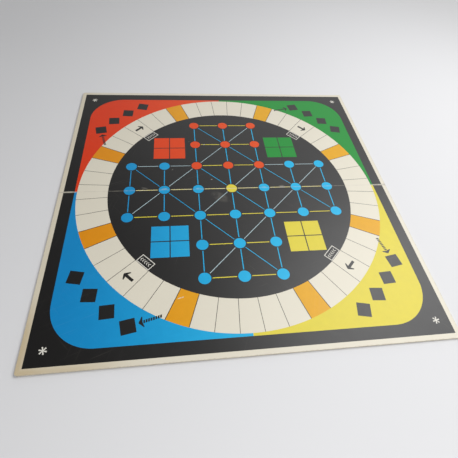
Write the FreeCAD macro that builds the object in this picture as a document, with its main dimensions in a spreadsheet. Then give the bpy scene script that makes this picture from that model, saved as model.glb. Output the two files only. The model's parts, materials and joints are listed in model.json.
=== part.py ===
import FreeCAD, Part
import math
import os
import Sketcher

# A folding games board, lying open with its printed face up.
# Two core boards are joined by a hinge cloth let into their faces; each has a lining paper on its back,
# and one printed sheet covers both. The sheet dips into the joint as a crease, and the board folds about
# the middle of that dip. +Y points away from the near edge, +X along the fold, and Z is 0 at the table.

# Lengths are in millimetres, angles in degrees.
SIZES = {
    # board
    "board_side": 400.0,
    "corner_radius": 2.5,
    "core_thickness": 1.6,
    "liner_thickness": 0.25,
    "sheet_thickness": 0.2,
    # fold
    "joint_gap": 2.4,
    "closed_gap": 0.4,
    "crease_width": 2.0,
    "crease_radius": 0.5,
    "crease_slack": 0.1,
    "cloth_width": 28.0,
    "cloth_thickness": 0.3,
    # printed border and corner panels
    "ink_thickness": 0.03,
    "margin_width": 5.0,
    "border_width": 12.3,
    "panel_corner_radius": 44.0,
    "star_inset": 18.7,
    "star_width": 7.0,
    "star_arm_width": 1.2,
    "star_arm_count": 6,
    # round track
    "track_inset": 2.7,
    "track_width": 34.5,
    "track_cell_count": 48,
    "stop_cell_count": 8,
    "divider_width": 0.5,
    "start_arrow_length": 12.6,
    "start_arrow_width": 10.6,
    "start_box_length": 17.6,
    "start_box_depth": 10.0,
    "start_box_inset": 0.5,
    "start_box_line": 0.8,
    # yards outside the track
    "yard_offset": 20.0,
    "yard_side": 13.8,
    "yard_count": 4,
    "yard_step_angle": 7.2,
    "return_tail_inset": 2.6,
    "return_tail_angle": 17.5,
    "return_arrow_length": 22.0,
    "return_arrow_width": 10.0,
    "return_stroke_width": 2.9,
    "return_stroke_count": 8,
    # cross of points inside the track
    "cross_inset": 17.7,
    "point_radius": 6.5,
    "line_clearance": 1.25,
    "line_width": 1.0,
    "diagonal_width": 0.8,
    "home_gap": 13.9,
    "home_clearance": 1.3,
    "home_split": 0.85,
}

# Shares of an arrow's length and half width, from its tail along one side to its tip.
START_ARROW_SHARES = ((0.0, 0.29), (0.72, 0.29), (0.61, 0.94), (0.66, 1.0), (0.70, 1.0), (0.98, 0.16), (1.0, 0.0))
RETURN_HEAD_SHARES = ((0.83, 0.0), (0.79, 1.0), (0.83, 1.0), (1.0, 0.0))
# Share of the return arrow's length that its strokes fill, and of each stroke's step that is inked.
RETURN_STROKES_SHARE = 0.81
RETURN_STROKE_INK_SHARE = 0.68

FULL_TURN = 360
HALF_TURN = 180
QUARTER_TURN = 90
EIGHTH_TURN = 45

# The cross of points reaches this many steps from the middle, and its arms this many to each side.
CROSS_REACH = 3
ARM_REACH = 1

# Ink of each corner, by the signs of its X and Y.
CORNER_INKS = {(-1, 1): "red", (1, 1): "green", (-1, -1): "blue", (1, -1): "yellow"}
SIDES = {"near": -1, "far": 1}

doc = FreeCAD.newDocument("games_board")
sheet = doc.addObject("Spreadsheet::Sheet", "Sizes")
for row, (alias, number) in enumerate(SIZES.items(), start=1):
    sheet.set(f"A{row}", alias)
    sheet.set(f"B{row}", str(number))
    sheet.setAlias(f"B{row}", alias)
doc.recompute()

# Heights and edges that several pieces share, as expressions on the sheet.
HALF_SIDE = "Sizes.board_side / 2"
JOINT_EDGE = "Sizes.joint_gap / 2"
CORE_EDGE = "Sizes.joint_gap / 2 + Sizes.liner_thickness"
CLOTH_EDGE = "Sizes.cloth_width / 2"
CREASE_EDGE = "Sizes.crease_width / 2"
CORE_BASE = "Sizes.liner_thickness"
CORE_TOP = "Sizes.liner_thickness + Sizes.core_thickness"
FACE_TOP = "Sizes.liner_thickness + Sizes.core_thickness + Sizes.sheet_thickness"
FOLD_HEIGHT = FACE_TOP + " + Sizes.closed_gap / 2"
TURN_IN_HEIGHT = "Sizes.core_thickness - Sizes.cloth_thickness"


def value(expression):
    """The number that an expression on the sheet gives."""
    return float(sheet.evalExpression(expression))


def new_body(label):
    body = doc.addObject("PartDesign::Body", label)
    body.Label = label
    return body


def sketch_on(body, role, name):
    plane = next(item for item in body.Origin.OriginFeatures if item.Role == role)
    sketch = body.newObject("Sketcher::SketchObject", name)
    sketch.AttachmentSupport = [(plane, "")]
    sketch.MapMode = "FlatFace"
    return sketch


def bind(sketch, name, expression, kind, *places):
    """Adds a dimension to the sketch and ties it to the sheet."""
    index = sketch.addConstraint(Sketcher.Constraint(kind, *places, value(expression)))
    sketch.renameConstraint(index, name)
    sketch.setExpression(f"Constraints.{name}", expression)


def chain(sketch, ends):
    """Joins end to end the listed (edge, end) pairs."""
    for first, second in ends:
        sketch.addConstraint(Sketcher.Constraint("Coincident", *first, *second))


def strip_sketch(body, name, inner, outer, base):
    """A rectangle as long as the board, from inner to outer in Y, at height base."""
    sketch = sketch_on(body, "XY_Plane", name)
    sketch.setExpression("AttachmentOffset.Base.z", base)
    reach = value(HALF_SIDE)
    low = value(inner)
    high = value(outer)
    corners = [(-reach, low), (reach, low), (reach, high), (-reach, high)]
    points = [FreeCAD.Vector(x, y, 0) for x, y in corners]
    for start, end in zip(points, points[1:] + points[:1]):
        sketch.addGeometry(Part.LineSegment(start, end))
    chain(sketch, [((0, 2), (1, 1)), ((1, 2), (2, 1)), ((2, 2), (3, 1)), ((3, 2), (0, 1))])
    for edge, direction in ((1, "Vertical"), (2, "Horizontal"), (3, "Vertical")):
        sketch.addConstraint(Sketcher.Constraint(direction, edge))
    sketch.addConstraint(Sketcher.Constraint("Symmetric", 0, 1, 0, 2, -2))
    bind(sketch, "length", "Sizes.board_side", "DistanceX", 0, 1, 0, 2)
    bind(sketch, "inner", inner, "DistanceY", -1, 1, 0, 1)
    bind(sketch, "outer", outer, "DistanceY", -1, 1, 2, 1)
    return sketch


def add_plate(body, name, inner, outer, base, thickness):
    pad = body.newObject("PartDesign::Pad", name)
    pad.Profile = strip_sketch(body, name + "_outline", inner, outer, base)
    pad.setExpression("Length", thickness)
    doc.recompute()
    return pad


def round_outer_corners(body, plate):
    """Rounds the two upright corners at the plate's outer edge."""
    box = plate.Shape.BoundBox
    edges = []
    for number, edge in enumerate(plate.Shape.Edges, start=1):
        upright = edge.BoundBox.ZLength > max(edge.BoundBox.XLength, edge.BoundBox.YLength)
        at_corner = math.isclose(edge.BoundBox.YMax, box.YMax)
        if upright and at_corner:
            edges.append(f"Edge{number}")
    fillet = body.newObject("PartDesign::Fillet", plate.Name + "_corners")
    fillet.Base = (plate, edges)
    fillet.setExpression("Radius", "Sizes.corner_radius")
    doc.recompute()
    return fillet


def place_half(body, side):
    """A half is drawn on the far side; the near one is the same turned half round."""
    turn = 0 if side == "far" else HALF_TURN
    body.Placement = FreeCAD.Placement(FreeCAD.Vector(), FreeCAD.Rotation(FreeCAD.Vector(0, 0, 1), turn))


def core_board(side):
    """Grey board with a shallow rebate for the hinge cloth along the joint."""
    body = new_body(f"{side}_core_board")
    plate = add_plate(body, f"{side}_core_plate", CORE_EDGE, HALF_SIDE, CORE_BASE, "Sizes.core_thickness")
    rounded = round_outer_corners(body, plate)
    before = rounded.Shape.Volume
    rebate = body.newObject("PartDesign::Pocket", f"{side}_core_rebate")
    rebate.Profile = strip_sketch(body, f"{side}_core_rebate_outline", CORE_EDGE, CLOTH_EDGE, CORE_TOP)
    rebate.setExpression("Length", "Sizes.cloth_thickness")
    doc.recompute()
    if not rebate.Shape.Volume < before:
        raise ValueError("the hinge rebate cut nothing")
    place_half(body, side)
    return body


def back_liner(side):
    """Lining paper on the back, turned up over the joint edge as far as the hinge cloth."""
    body = new_body(f"{side}_back_liner")
    plate = add_plate(body, f"{side}_liner_plate", JOINT_EDGE, HALF_SIDE, "0", "Sizes.liner_thickness")
    round_outer_corners(body, plate)
    add_plate(body, f"{side}_liner_turn_in", JOINT_EDGE, CORE_EDGE, CORE_BASE, TURN_IN_HEIGHT)
    place_half(body, side)
    return body


def face_sheet(side):
    """Printed paper on the face, up to the edge of the crease."""
    body = new_body(f"{side}_face_sheet")
    thickness = "Sizes.sheet_thickness"
    plate = add_plate(body, f"{side}_sheet_plate", CREASE_EDGE, HALF_SIDE, CORE_TOP, thickness)
    round_outer_corners(body, plate)
    place_half(body, side)
    return body


def valley_strip(label, width, top, thickness, radius):
    """A flexible strip along the fold: two flat wings and a round dip about the fold's axis."""
    body = new_body(label)
    sketch = sketch_on(body, "YZ_Plane", label + "_section")
    middle = FreeCAD.Vector(0, value(FOLD_HEIGHT), 0)
    edge = value(width) / 2
    levels = (value(top), value(f"({top}) - ({thickness})"))
    radii = (value(radius), value(f"({radius}) + ({thickness})"))
    mouths = [math.sqrt(reach ** 2 - (middle.y - level) ** 2) for reach, level in zip(radii, levels)]
    for level, reach, mouth in zip(levels, radii, mouths):
        lean = math.atan2(middle.y - level, mouth)
        circle = Part.Circle(middle, FreeCAD.Vector(0, 0, 1), reach)
        left = FreeCAD.Vector(-mouth, level, 0)
        right = FreeCAD.Vector(mouth, level, 0)
        sketch.addGeometry(Part.LineSegment(FreeCAD.Vector(-edge, level, 0), left))
        sketch.addGeometry(Part.ArcOfCircle(circle, math.pi + lean, 2 * math.pi - lean))
        sketch.addGeometry(Part.LineSegment(right, FreeCAD.Vector(edge, level, 0)))
    for place in (-edge, edge):
        sketch.addGeometry(Part.LineSegment(*(FreeCAD.Vector(place, level, 0) for level in levels)))
    chain(sketch, [((0, 2), (1, 1)), ((1, 2), (2, 1)), ((3, 2), (4, 1)), ((4, 2), (5, 1))])
    chain(sketch, [((6, 1), (0, 1)), ((6, 2), (3, 1)), ((7, 1), (2, 2)), ((7, 2), (5, 2))])
    chain(sketch, [((1, 3), (4, 3))])
    for wing in (0, 2, 3, 5):
        sketch.addConstraint(Sketcher.Constraint("Horizontal", wing))
    for edge_line in (6, 7):
        sketch.addConstraint(Sketcher.Constraint("Vertical", edge_line))
    sketch.addConstraint(Sketcher.Constraint("PointOnObject", 1, 3, -2))
    sketch.addConstraint(Sketcher.Constraint("Symmetric", 0, 1, 2, 2, -2))
    sketch.addConstraint(Sketcher.Constraint("Horizontal", 3, 1, 5, 2))
    bind(sketch, "width", width, "DistanceX", 0, 1, 2, 2)
    bind(sketch, "top", top, "DistanceY", -1, 1, 0, 1)
    bind(sketch, "thickness", thickness, "DistanceY", 3, 1, 0, 1)
    bind(sketch, "fold_height", FOLD_HEIGHT, "DistanceY", -1, 1, 1, 3)
    bind(sketch, "inner_radius", radius, "Radius", 1)
    bind(sketch, "outer_radius", f"({radius}) + ({thickness})", "Radius", 4)
    pad = body.newObject("PartDesign::Pad", label + "_strip")
    pad.Profile = sketch
    pad.SideType = "Symmetric"
    pad.setExpression("Length", "Sizes.board_side")
    doc.recompute()
    return body


def face_crease():
    """The bending strip of the printed sheet, between its two halves."""
    return valley_strip(
        "face_crease", "Sizes.crease_width", FACE_TOP, "Sizes.sheet_thickness", "Sizes.crease_radius")


def hinge_cloth():
    """Linen strip let into both core boards, with slack for the sheet's crease above it."""
    radius = "Sizes.crease_radius + Sizes.sheet_thickness + Sizes.crease_slack"
    return valley_strip("hinge_cloth", "Sizes.cloth_width", CORE_TOP, "Sizes.cloth_thickness", radius)


def polygon(points):
    wire = Part.makePolygon([FreeCAD.Vector(x, y, 0) for x, y in points + points[:1]])
    return Part.Face(wire)


def disc(radius, x=0, y=0):
    return Part.Face(Part.Wire(Part.makeCircle(radius, FreeCAD.Vector(x, y, 0))))


def turned(face, angle, x=0, y=0):
    """A face drawn at the origin, turned about it and then moved to (x, y)."""
    turn = FreeCAD.Rotation(FreeCAD.Vector(0, 0, 1), angle)
    return face.transformed(FreeCAD.Placement(FreeCAD.Vector(x, y, 0), turn).Matrix)


def rectangle(length, depth):
    x = length / 2
    y = depth / 2
    return polygon([(-x, -y), (x, -y), (x, y), (-x, y)])


def polar(radius, angle):
    return radius * math.cos(math.radians(angle)), radius * math.sin(math.radians(angle))


def rounded_square(half, radius):
    square = rectangle(2 * half, 2 * half).extrude(FreeCAD.Vector(0, 0, radius))
    uprights = [edge for edge in square.Edges if edge.BoundBox.ZLength > radius / 2]
    rounded = square.makeFillet(radius, uprights)
    return next(face for face in rounded.Faces if face.BoundBox.ZMax < radius / 2)


def quarter(x_sign, y_sign, reach):
    return polygon([(0, 0), (x_sign * reach, 0), (x_sign * reach, y_sign * reach), (0, y_sign * reach)])


def outlined_arrow(length, width, shares):
    """An arrow along +X from the origin, mirrored about its shaft."""
    side = [(length * along, width / 2 * across) for along, across in shares]
    other = [(x, -y) for x, y in reversed(side) if y > 0]
    return polygon(side + other)


border_half = value("board_side / 2 - margin_width")
panel_half = value("board_side / 2 - margin_width - border_width")
track_outer = value("board_side / 2 - margin_width - border_width - track_inset")
track_inner = track_outer - value("track_width")
point_pitch = (track_inner - value("cross_inset")) / math.hypot(CROSS_REACH, ARM_REACH)
start_box_inner = track_inner - value("start_box_inset + start_box_depth")
home_near = point_pitch + value("home_gap")
home_reach = (start_box_inner - value("home_clearance")) * math.sin(math.radians(EIGHTH_TURN))
home_side = home_reach - home_near
home_middle = (home_reach + home_near) / 2
yard_radius = track_outer + value("yard_offset")
cell_angle = FULL_TURN / value("track_cell_count")
stop_angle = FULL_TURN / value("stop_cell_count")
diagonals = [EIGHTH_TURN + QUARTER_TURN * k for k in range(4)]


def border_figures():
    """Black border between the paper margin and the rounded panels, with a pale star in each corner."""
    panel = rounded_square(panel_half, value("panel_corner_radius"))
    border = rectangle(2 * border_half, 2 * border_half).cut(panel).cut(disc(track_outer))
    yield "black", 0, border
    arm_step = FULL_TURN / value("star_arm_count")
    for x_sign, y_sign in CORNER_INKS:
        arm = rectangle(value("star_width"), value("star_arm_width"))
        arms = [turned(arm, arm_step * k) for k in range(int(value("star_arm_count / 2")))]
        star = arms[0].multiFuse(arms[1:]).removeSplitter()
        place = value("board_side / 2 - star_inset")
        toward = math.degrees(math.atan2(y_sign, x_sign))
        yield "pale", 1, turned(star, toward, x_sign * place, y_sign * place)


def panel_figures():
    """Four coloured corner panels around the track."""
    panel = rounded_square(panel_half, value("panel_corner_radius")).cut(disc(track_outer))
    for (x_sign, y_sign), ink in CORNER_INKS.items():
        yield ink, 0, panel.common(quarter(x_sign, y_sign, panel_half))


def track_figures():
    """Ring of cells: thin dividers, coloured stop cells and an arrow in each start cell."""
    ring = disc(track_outer).cut(disc(track_inner))
    edge = cell_angle / 2
    stroke = value("divider_width")
    dividers = {}
    ray = turned(rectangle(track_outer, stroke), 0, track_outer / 2, 0)
    for k in range(int(value("track_cell_count"))):
        dividers[k] = turned(ray, edge + k * cell_angle).common(ring)
        yield "black", 0, dividers[k]
    half_cell = math.radians(edge)
    for k in range(int(value("stop_cell_count"))):
        angle = stop_angle * (k + 0.5)
        tip = track_outer / math.cos(half_cell)
        wedge = polygon([(0, 0), polar(tip, angle - edge), polar(tip, angle + edge)]).common(ring)
        beside = [line for line in dividers.values() if line.distToShape(wedge)[0] < stroke]
        yield "orange", 0, wedge.cut(beside)
    arrow = outlined_arrow(value("start_arrow_length"), value("start_arrow_width"), START_ARROW_SHARES)
    arrow = turned(arrow, 0, -value("start_arrow_length") / 2, 0)
    for angle in diagonals:
        place = polar((track_inner + track_outer) / 2, angle)
        yield "black", 0, turned(arrow, angle - QUARTER_TURN, *place)


def field_figures():
    """Black field inside the track, and the outlined start boxes at its rim."""
    yield "black", 0, disc(track_inner)
    line = value("start_box_line")
    length = value("start_box_length")
    depth = value("start_box_depth")
    frame = rectangle(depth, length).cut(rectangle(depth - 2 * line, length - 2 * line))
    for angle in diagonals:
        place = polar(start_box_inner + depth / 2, angle)
        yield "pale", 1, turned(frame, angle, *place)


def yard_figures():
    """Black yard squares on an arc in each corner, and the hatched arrow that leads to them."""
    count = int(value("yard_count"))
    square = rectangle(value("yard_side"), value("yard_side"))
    length = value("return_arrow_length")
    strokes = int(value("return_stroke_count"))
    step = length * RETURN_STROKES_SHARE / strokes
    stroke = rectangle(step * RETURN_STROKE_INK_SHARE, value("return_stroke_width"))
    head = outlined_arrow(length, value("return_arrow_width"), RETURN_HEAD_SHARES)
    for angle in diagonals:
        for k in range(count):
            toward = angle + (k - (count - 1) / 2) * value("yard_step_angle")
            yield "black", 1, turned(square, toward - EIGHTH_TURN, *polar(yard_radius, toward))
        tail = polar(track_outer - value("return_tail_inset"), angle + value("return_tail_angle"))
        last = polar(yard_radius, angle + (count - 1) / 2 * value("yard_step_angle"))
        heading = math.degrees(math.atan2(last[1] - tail[1], last[0] - tail[0]))
        for k in range(strokes):
            along = turned(stroke, 0, (k + 0.5) * step, 0)
            yield "black", 1, turned(along, heading, *tail)
        yield "black", 1, turned(head, heading, *tail)


def on_cross(column, row):
    within = max(abs(column), abs(row)) <= CROSS_REACH
    return within and min(abs(column), abs(row)) <= ARM_REACH


def line_ink(column, row, right, up):
    """Upright lines and falling diagonals are blue, rising diagonals pale, level lines yellow or pale."""
    if right == 0:
        return "blue"
    if up != 0:
        return "pale" if right * up > 0 else "blue"
    side_arm = min(abs(column), abs(column + right)) >= ARM_REACH and row == ARM_REACH
    return "pale" if side_arm else "yellow"


def cross_figures():
    """Round points on a cross-shaped grid, the lines between them, and four divided home squares."""
    trim = value("point_radius + line_clearance")
    reach = range(-CROSS_REACH, CROSS_REACH + 1)
    places = [(column, row) for row in reach for column in reach if on_cross(column, row)]
    for column, row in places:
        in_red = abs(column) <= ARM_REACH and row >= ARM_REACH
        ink = "red" if in_red else "blue"
        if (column, row) == (0, 0):
            ink = "yellow"
        yield ink, 1, disc(value("point_radius"), column * point_pitch, row * point_pitch)
        for right, up in ((1, 0), (0, 1), (1, 1), (1, -1)):
            leaning = right * up != 0
            if not on_cross(column + right, row + up) or (leaning and (column + row) % 2):
                continue
            run = point_pitch * math.hypot(right, up)
            width = value("diagonal_width") if leaning else value("line_width")
            line = rectangle(run - 2 * trim, width)
            heading = math.degrees(math.atan2(up, right))
            middle = ((column + right / 2) * point_pitch, (row + up / 2) * point_pitch)
            yield line_ink(column, row, right, up), 1, turned(line, heading, *middle)
    split = value("home_split")
    cell = (home_side - split) / 2
    shift = (cell + split) / 2
    for (x_sign, y_sign), ink in CORNER_INKS.items():
        for across in (-shift, shift):
            for along in (-shift, shift):
                x = x_sign * home_middle + across
                y = y_sign * home_middle + along
                yield ink, 1, turned(rectangle(cell, cell), 0, x, y)


def ink_layers():
    """One layer for each ink on each half: thin films on the sheet, cut off at the crease."""
    figures = [*border_figures(), *panel_figures(), *track_figures()]
    figures += [*field_figures(), *yard_figures(), *cross_figures()]
    film = value("ink_thickness")
    half_depth = value("board_side / 2 - crease_width / 2")
    half_middle = value("board_side / 4 + crease_width / 4")
    layers = []
    for side, sign in SIDES.items():
        half = turned(rectangle(value("board_side"), half_depth), 0, 0, sign * half_middle)
        for ink in dict.fromkeys(ink for ink, level, face in figures):
            films = []
            for level, face in [(level, face) for name, level, face in figures if name == ink]:
                for piece in face.common(half).Faces:
                    raised = piece.translated(FreeCAD.Vector(0, 0, level * film))
                    films.append(raised.extrude(FreeCAD.Vector(0, 0, film)))
            if films:
                layer = doc.addObject("Part::Feature", f"{side}_{ink}_ink")
                layer.Label = f"{side}_{ink}_ink"
                layer.Shape = Part.Compound(films)
                layer.Placement.Base.z = value(FACE_TOP)
                layers.append(layer)
    return layers


pieces = []
for half_name in SIDES:
    pieces += [core_board(half_name), back_liner(half_name), face_sheet(half_name)]
pieces += [face_crease(), hinge_cloth()]
pieces += ink_layers()
doc.recompute()

for item in doc.Objects:
    if "Invalid" in item.State or "Error" in item.State:
        raise ValueError(f"{item.Label} did not build")
for piece in pieces:
    if piece.Shape.isNull() or not piece.Shape.isValid():
        raise ValueError(f"{piece.Label} has no sound shape")

os.makedirs("parts", exist_ok=True)
for piece in pieces:
    piece.Shape.exportStep(f"parts/{piece.Label}.step")
    print(piece.Label, len(piece.Shape.Solids), "solids", round(piece.Shape.Volume, 3), "mm3")
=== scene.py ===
import json
import math

import bmesh
import bpy
from mathutils import Matrix, Vector, noise


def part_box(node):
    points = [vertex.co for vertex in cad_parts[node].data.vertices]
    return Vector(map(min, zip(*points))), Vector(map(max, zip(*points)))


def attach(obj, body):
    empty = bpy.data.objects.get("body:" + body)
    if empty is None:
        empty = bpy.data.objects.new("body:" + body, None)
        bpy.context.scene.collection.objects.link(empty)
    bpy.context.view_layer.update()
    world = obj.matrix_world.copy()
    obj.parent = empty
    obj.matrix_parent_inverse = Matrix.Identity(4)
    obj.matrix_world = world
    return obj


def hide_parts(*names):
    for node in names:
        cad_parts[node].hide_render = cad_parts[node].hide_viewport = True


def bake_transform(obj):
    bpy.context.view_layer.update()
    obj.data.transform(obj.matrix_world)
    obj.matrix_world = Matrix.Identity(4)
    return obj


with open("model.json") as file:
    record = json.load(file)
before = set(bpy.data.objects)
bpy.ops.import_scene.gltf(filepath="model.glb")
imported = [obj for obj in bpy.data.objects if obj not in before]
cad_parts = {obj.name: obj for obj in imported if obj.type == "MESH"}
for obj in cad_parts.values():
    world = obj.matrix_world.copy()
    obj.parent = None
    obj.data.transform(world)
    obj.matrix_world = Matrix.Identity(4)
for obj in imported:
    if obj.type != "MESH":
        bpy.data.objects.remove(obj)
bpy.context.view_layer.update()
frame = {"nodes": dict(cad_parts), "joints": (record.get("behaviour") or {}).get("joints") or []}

# The drawing is in millimetres and degrees; meshes, materials and lights are in metres and radians.
MM = 0.001
FULL_TURN = 360.0
HALF_TURN = 180.0
QUARTER_TURN = 90.0
EIGHTH_TURN = 45.0

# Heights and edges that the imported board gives.
SHEET_LOW, SHEET_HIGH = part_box("far_face_sheet")
CLOTH_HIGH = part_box("hinge_cloth")[1]
BOARD_HALF = SHEET_HIGH.x / MM
FACE_TOP = SHEET_HIGH.z / MM
SHEET_THICKNESS = (SHEET_HIGH.z - SHEET_LOW.z) / MM
CREASE_EDGE = SHEET_LOW.y / MM
CLOTH_TOP = CLOTH_HIGH.z / MM
CLOTH_EDGE = CLOTH_HIGH.y / MM
FOLD_HEIGHT = frame["joints"][0]["pos_m"][2] / MM

# Fold: the crease of the printed sheet, and the linen strip under it.
CREASE_RADIUS = 0.5
CREASE_DIP = 0.08
CREASE_STEPS = 8
CREASE_CRINKLE = 0.05
CLOTH_RADIUS = 0.8
CLOTH_THICKNESS = 0.3
CLOTH_COLUMNS = 80
CLOTH_DIP_STEPS = 6
CLOTH_WING_STEPS = 12
# The crinkle's noise per millimetre along and across, the slice of it that is taken, and the share
# of the half width over which it dies out toward the edge.
CRINKLE_ALONG = 0.9
CRINKLE_ACROSS = 1.6
CRINKLE_SLICE = 4.0
CRINKLE_FADE = 0.4
# A face whose normal rises more than this is printed on.
FACING_UP = 0.1

# Print: border, corner panels, round track.
MARGIN_WIDTH = 5.0
BORDER_WIDTH = 12.3
BORDER_HALF = BOARD_HALF - MARGIN_WIDTH
PANEL_HALF = BORDER_HALF - BORDER_WIDTH
PANEL_CORNER = 44.0
TRACK_INSET = 2.7
TRACK_WIDTH = 34.5
TRACK_OUTER = PANEL_HALF - TRACK_INSET
TRACK_INNER = TRACK_OUTER - TRACK_WIDTH
TRACK_MIDDLE = (TRACK_INNER + TRACK_OUTER) / 2
CELL_COUNT = 48
STOP_COUNT = 8
CELL_ANGLE = FULL_TURN / CELL_COUNT
STOP_ANGLE = FULL_TURN / STOP_COUNT
DIVIDER_WIDTH = 0.5
STOP_DIVIDER_WIDTH = 0.7
STAR_INSET = 18.7
STAR_PLACE = BOARD_HALF - STAR_INSET
STAR_REACH = 3.5
STAR_ARMS = 6
STAR_WAIST = 0.8
STAR_TIP = 1.3
START_ARROW_LENGTH = 12.6
START_ARROW_WIDTH = 10.6
START_BOX_LENGTH = 17.6
START_BOX_DEPTH = 10.0
START_BOX_GAP = 0.5
START_BOX_INNER = TRACK_INNER - START_BOX_GAP - START_BOX_DEPTH
START_BOX_LINE = 0.8
CHEVRON_COUNT = 5
CHEVRON_STEP = 2.7
CHEVRON_DEPTH = 3.6
CHEVRON_REACH = 1.5
CHEVRON_STROKE = 0.8

# Print: yards outside the track.
YARD_OFFSET = 20.0
YARD_RADIUS = TRACK_OUTER + YARD_OFFSET
YARD_SIDE = 13.8
YARD_COUNT = 4
YARD_STEP = 7.2
RETURN_TAIL_INSET = 2.6
RETURN_TAIL_RADIUS = TRACK_OUTER - RETURN_TAIL_INSET
RETURN_TAIL_ANGLE = 17.5
RETURN_LENGTH = 22.0
RETURN_WIDTH = 10.0
RETURN_STROKE_WIDTH = 2.9
RETURN_STROKE_LEAN = 0.25
RETURN_STROKES = 8
RETURN_STROKES_SHARE = 0.81
RETURN_INK_SHARE = 0.68

# Print: cross of points inside the track.
CROSS_REACH = 3
ARM_REACH = 1
CROSS_INSET = 17.7
POINT_PITCH = (TRACK_INNER - CROSS_INSET) / math.hypot(CROSS_REACH, ARM_REACH)
POINT_RADIUS = 6.5
LINE_CLEARANCE = 1.25
LINE_TRIM = POINT_RADIUS + LINE_CLEARANCE
LEVEL_WIDTH = 1.0
UPRIGHT_WIDTH = 1.05
RISING_WIDTH = 0.75
FALLING_WIDTH = 0.75
ARM_LEVEL_WIDTH = 0.8
HOME_GAP = 13.9
HOME_CLEARANCE = 1.3
HOME_NEAR = POINT_PITCH + HOME_GAP
HOME_REACH = (START_BOX_INNER - HOME_CLEARANCE) * math.sin(math.radians(EIGHTH_TURN))
HOME_SPLIT = 1.2

# Shares of an arrow's length and half width, from its tail along one side to its tip.
START_ARROW_SHARES = (
    (0.0, 0.29), (0.72, 0.29), (0.61, 0.94), (0.66, 1.0), (0.70, 1.0), (0.98, 0.16), (1.0, 0.0))
RETURN_HEAD_SHARES = ((0.83, 0.0), (0.79, 1.0), (0.83, 1.0), (1.0, 0.0))

# An ink lies on the paper in films, in millimetres; figures over another ink lie one film higher.
INK_FILM = 0.03
ON_PAPER = 0
ON_INK = 1

# Round edges are drawn in steps of this many degrees.
LARGE_ARC_STEP = 1.25
SMALL_ARC_STEP = 6.0
DOT_CORNERS = 72
# Corners closer than this, in metres, are one corner.
SEAM = 1e-6

# Colours are linear red, green and blue.
PAPER = (0.642, 0.603, 0.500)
TONED_AND_SHADED_PAPER = (0.50, 0.41, 0.265)
FOXED_PAPER = (0.34, 0.22, 0.10)
FOLD_DARK_PAPER = (0.36, 0.32, 0.29)
GREY_BOARD = (0.36, 0.32, 0.25)
BOARD_DARK = (0.40, 0.36, 0.28)
BOARD_PALE = (0.74, 0.68, 0.56)
BOARD_DARK_FIBRE = (0.12, 0.10, 0.09)
BOARD_PALE_FIBRE = (0.70, 0.66, 0.58)
LINING_DARK = (0.34, 0.29, 0.205)
LINING_PALE = (0.55, 0.485, 0.365)
LINING_DARK_FIBRE = (0.21, 0.16, 0.10)
LINING_PALE_FIBRE = (0.70, 0.64, 0.52)
LINING_HANDLED = (0.27, 0.215, 0.145)
LINEN_DARK = (0.34, 0.29, 0.20)
LINEN_PALE = (0.62, 0.55, 0.42)
INKS = {
    "black": (0.0032, 0.0026, 0.0024),
    "red": (0.655, 0.062, 0.002),
    "green": (0.002, 0.230, 0.024),
    "blue": (0.004, 0.394, 0.681),
    "yellow": (0.628, 0.533, 0.042),
    "orange": (0.661, 0.331, 0.002),
    "pale": (0.640, 0.620, 0.560),
    "line_pale": (0.380, 0.495, 0.530),
}
# The same inks at the left edge, painted darker there as shade.
LEFT_SHADED_INKS = {
    "red": (0.604, 0.033, 0.002),
    "blue": (0.002, 0.200, 0.471),
    "orange": (0.636, 0.230, 0.002),
}
BLACK_SHINE = 0.515
INK_SHINE = 0.32
PLAIN_SHINE = 0.5


class Wire:
    """One output in a node tree. Reckoning with it adds Math nodes to that tree."""

    def __init__(self, draft, socket):
        self.draft = draft
        self.socket = socket

    def sibling(self, out):
        """Another output of the same node."""
        return Wire(self.draft, self.socket.node.outputs[out])

    def reckon(self, operation, *terms):
        return self.draft.node("ShaderNodeMath", {"operation": operation}, dict(enumerate(terms)))

    def __add__(self, other):
        return self.reckon("ADD", self, other)

    def __radd__(self, other):
        return self.reckon("ADD", other, self)

    def __sub__(self, other):
        return self.reckon("SUBTRACT", self, other)

    def __rsub__(self, other):
        return self.reckon("SUBTRACT", other, self)

    def __mul__(self, other):
        return self.reckon("MULTIPLY", self, other)

    def __rmul__(self, other):
        return self.reckon("MULTIPLY", other, self)

    def __truediv__(self, other):
        return self.reckon("DIVIDE", self, other)

    def __rtruediv__(self, other):
        return self.reckon("DIVIDE", other, self)

    def __abs__(self):
        return self.reckon("ABSOLUTE", self)

    def at_least(self, other):
        return self.reckon("MAXIMUM", self, other)

    def softly_at_least(self, other, reach):
        return self.reckon("SMOOTH_MAX", self, other, reach)


class Draft:
    """A node tree being drawn."""

    def __init__(self, tree):
        self.tree = tree

    def node(self, kind, settings=None, sockets=None, out=0, captures=()):
        """Adds a node: its settings, what it captures, then the values or wires of its sockets."""
        made = self.tree.nodes.new(kind)
        for name, value in (settings or {}).items():
            setattr(made, name, value)
        for value_kind, name in captures:
            made.capture_items.new(value_kind, name)
        for key, value in (sockets or {}).items():
            for item in value if isinstance(value, list) else [value]:
                if isinstance(item, Wire):
                    self.tree.links.new(item.socket, made.inputs[key])
                else:
                    made.inputs[key].default_value = item
        return Wire(self, made.outputs[out]) if made.outputs else made

    def band(self, value, low, high, start=0.0, end=1.0):
        """Goes smoothly from start at low to end at high."""
        sockets = {"Value": value, "From Min": low, "From Max": high, "To Min": start, "To Max": end}
        return self.node("ShaderNodeMapRange", {"interpolation_type": "SMOOTHSTEP"}, sockets)

    def length(self, vector):
        return self.node("ShaderNodeVectorMath", {"operation": "LENGTH"}, {0: vector}, out="Value")


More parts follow.
